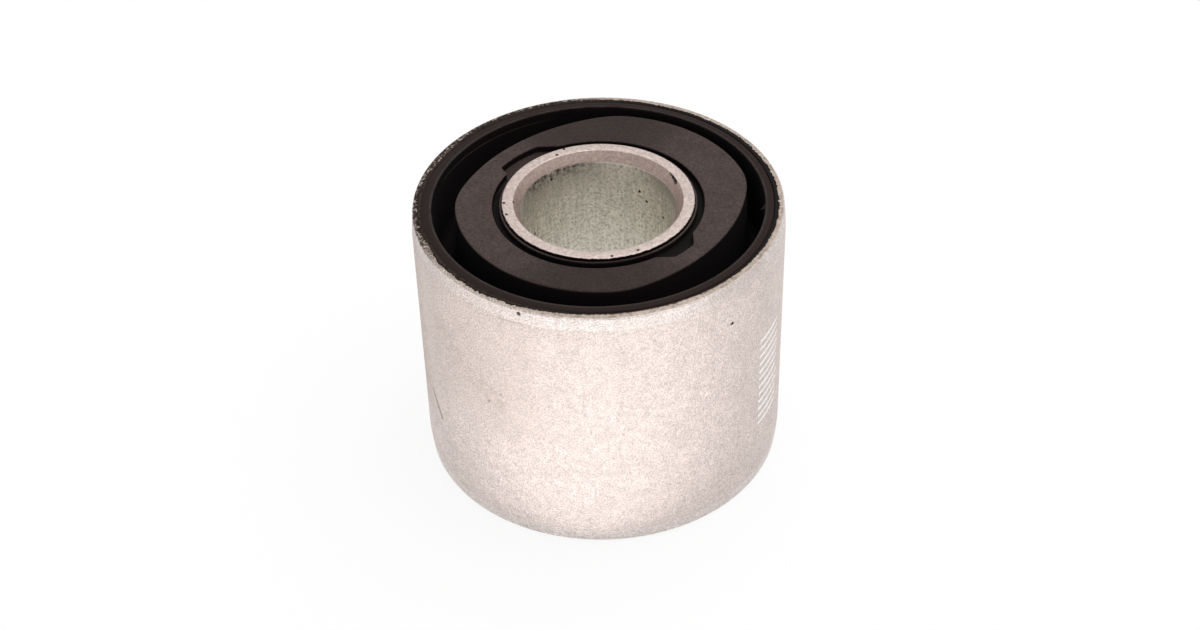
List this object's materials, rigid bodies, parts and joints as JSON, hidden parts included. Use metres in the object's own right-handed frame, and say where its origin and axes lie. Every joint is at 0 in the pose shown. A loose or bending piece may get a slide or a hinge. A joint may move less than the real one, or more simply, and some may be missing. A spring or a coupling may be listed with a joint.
{
  "type": "control arm bushing",
  "caption": "Bonded bushing: a steel inner tube in a moulded rubber body with curved voids at its ends, inside a steel press-in sleeve. Joins an arm to its pivot bolt with some give.",
  "frame": {"origin": "centre of the bore at mid-length", "axes": "+Z along the bore axis and up as it stands; +X through the narrow notch at the tube and -X through the wide one; +Y towards the narrow end of the voids"},
  "size_m": [0.0384, 0.0384, 0.0304],
  "materials": {
    "sleeve_steel": "matt zinc plating with fine grain and faint brown stains",
    "rubber": "matt moulded rubber with a thin ragged flash at the rim",
    "tube_steel": "plated steel, greyer and lightly scored inside the bore"
  },
  "bodies": {
    "root": {"outer_sleeve": "sleeve_steel", "rubber_body": "rubber", "inner_tube": "tube_steel"}
  },
  "joints": []
}
